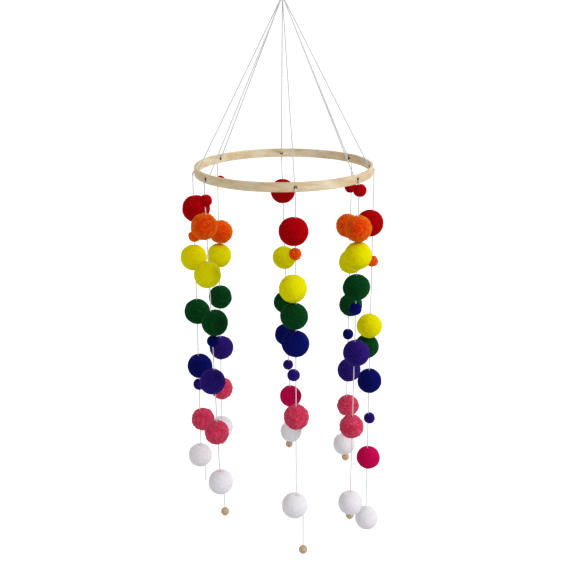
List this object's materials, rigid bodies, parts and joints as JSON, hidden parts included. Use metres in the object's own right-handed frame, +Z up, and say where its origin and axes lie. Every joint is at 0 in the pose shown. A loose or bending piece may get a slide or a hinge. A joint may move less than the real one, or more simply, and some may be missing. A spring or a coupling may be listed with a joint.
{
  "type": "crib mobile",
  "caption": "Hanging crib mobile: a bentwood hoop on gathered cords carries vertical strands of felted wool balls in rainbow order, each ending in a small turned wooden bead.",
  "frame": {"origin": "the point inside the top of the hanging loop where the hook bears", "axes": "+Z up along the hanging line, -Y towards the front strand, +X to the right"},
  "size_m": [0.2411, 0.2325, 0.716],
  "materials": {
    "cord": "twisted cotton cord",
    "hoop_wood": "sanded pale bentwood, no lacquer",
    "bead_wood": "turned and sanded",
    "red_pink": "felted wool",
    "orange_yellow": "felted wool",
    "green": "felted wool",
    "blue_violet": "felted wool",
    "white": "felted wool"
  },
  "bodies": {
    "hanger": {"hanging_loop": "cord"},
    "top_knot": {"loop_knot": "cord"},
    "ring": {"gather_knot": "cord", "suspension_cords": "cord", "hoop": "hoop_wood"},
    "strand_1": {"thread_1": "cord", "red_pink_1": "red_pink", "orange_yellow_1": "orange_yellow", "green_1": "green", "blue_violet_1": "blue_violet", "white_1": "white"},
    "end_bead_1": {"bead_1": "bead_wood"},
    "strand_2": {"thread_2": "cord", "red_pink_2": "red_pink", "orange_yellow_2": "orange_yellow", "green_2": "green", "blue_violet_2": "blue_violet", "white_2": "white"},
    "end_bead_2": {"bead_2": "bead_wood"},
    "strand_3": {"thread_3": "cord", "red_pink_3": "red_pink", "orange_yellow_3": "orange_yellow", "green_3": "green", "blue_violet_3": "blue_violet", "white_3": "white"},
    "end_bead_3": {"bead_3": "bead_wood"},
    "strand_4": {"thread_4": "cord", "red_pink_4": "red_pink", "orange_yellow_4": "orange_yellow", "green_4": "green", "blue_violet_4": "blue_violet", "white_4": "white"},
    "end_bead_4": {"bead_4": "bead_wood"},
    "strand_5": {"thread_5": "cord", "red_pink_5": "red_pink", "orange_yellow_5": "orange_yellow", "green_5": "green", "blue_violet_5": "blue_violet", "white_5": "white"},
    "end_bead_5": {"bead_5": "bead_wood"},
    "strand_6": {"thread_6": "cord", "red_pink_6": "red_pink", "orange_yellow_6": "orange_yellow", "green_6": "green", "blue_violet_6": "blue_violet", "white_6": "white"},
    "end_bead_6": {"bead_6": "bead_wood"},
    "strand_7": {"thread_7": "cord", "red_pink_7": "red_pink", "orange_yellow_7": "orange_yellow", "green_7": "green", "blue_violet_7": "blue_violet", "white_7": "white"},
    "strand_8": {"thread_8": "cord", "red_pink_8": "red_pink", "orange_yellow_8": "orange_yellow", "green_8": "green", "blue_violet_8": "blue_violet", "white_8": "white"},
    "end_bead_8": {"bead_8": "bead_wood"}
  },
  "joints": [
    {"name": "mobile_swing", "type": "hinge", "parent": "hanger", "child": "top_knot", "pos_m": [0, 0, -0.0412], "axis": [1, 0, 0], "range_deg": [-15, 15]},
    {"name": "mobile_spin", "type": "hinge", "parent": "top_knot", "child": "ring", "pos_m": [0, 0, -0.046], "axis": [0, 0, 1], "continuous": true},
    {"name": "strand_1_swing", "type": "hinge", "parent": "ring", "child": "strand_1", "pos_m": [0.00798, -0.10139, -0.23685], "axis": [-0.9969, -0.0785, 0], "range_deg": [-4, 25]},
    {"name": "bead_1_spin", "type": "hinge", "parent": "strand_1", "child": "end_bead_1", "pos_m": [0.01528, -0.10139, -0.63686], "axis": [0.0017, 0, 1], "continuous": true},
    {"name": "strand_2_swing", "type": "hinge", "parent": "ring", "child": "strand_2", "pos_m": [0.07675, -0.06672, -0.23685], "axis": [-0.6561, -0.7547, 0], "range_deg": [-4, 25]},
    {"name": "bead_2_spin", "type": "hinge", "parent": "strand_2", "child": "end_bead_2", "pos_m": [0.07396, -0.06672, -0.63684], "axis": [0.007, 0, 1], "continuous": true},
    {"name": "strand_3_swing", "type": "hinge", "parent": "ring", "child": "strand_3", "pos_m": [0.1017, 0, -0.23685], "axis": [0, -1, 0], "range_deg": [-4, 25]},
    {"name": "bead_3_spin", "type": "hinge", "parent": "strand_3", "child": "end_bead_3", "pos_m": [0.1031, 0, -0.63685], "axis": [-0.0035, 0, 1], "continuous": true},
    {"name": "strand_4_swing", "type": "hinge", "parent": "ring", "child": "strand_4", "pos_m": [0.08331, 0.05833, -0.23685], "axis": [0.5736, -0.8192, 0], "range_deg": [-4, 25]},
    {"name": "bead_4_spin", "type": "hinge", "parent": "strand_4", "child": "end_bead_4", "pos_m": [0.08191, 0.05833, -0.63685], "axis": [0.0035, 0, 1], "continuous": true},
    {"name": "strand_5_swing", "type": "hinge", "parent": "ring", "child": "strand_5", "pos_m": [0.00089, 0.1017, -0.23685], "axis": [1, -0.0087, 0], "range_deg": [-4, 25]},
    {"name": "bead_5_spin", "type": "hinge", "parent": "strand_5", "child": "end_bead_5", "pos_m": [0.00786, 0.1017, -0.6368], "axis": [-0.0262, 0, 0.9997], "continuous": true},
    {"name": "strand_6_swing", "type": "hinge", "parent": "ring", "child": "strand_6", "pos_m": [-0.07675, 0.06672, -0.23685], "axis": [0.6561, 0.7547, 0], "range_deg": [-4, 25]},
    {"name": "bead_6_spin", "type": "hinge", "parent": "strand_6", "child": "end_bead_6", "pos_m": [-0.08374, 0.06672, -0.63679], "axis": [0.0175, 0, 0.9998], "continuous": true},
    {"name": "strand_7_swing", "type": "hinge", "parent": "ring", "child": "strand_7", "pos_m": [-0.10131, -0.00886, -0.23685], "axis": [-0.0872, 0.9962, 0], "range_deg": [-4, 25]},
    {"name": "strand_8_swing", "type": "hinge", "parent": "ring", "child": "strand_8", "pos_m": [-0.08671, -0.05314, -0.23685], "axis": [-0.5225, 0.8526, 0], "range_deg": [-4, 25]},
    {"name": "bead_8_spin", "type": "hinge", "parent": "strand_8", "child": "end_bead_8", "pos_m": [-0.07713, -0.05314, -0.63675], "axis": [-0.014, 0, 0.9999], "continuous": true}
  ]
}
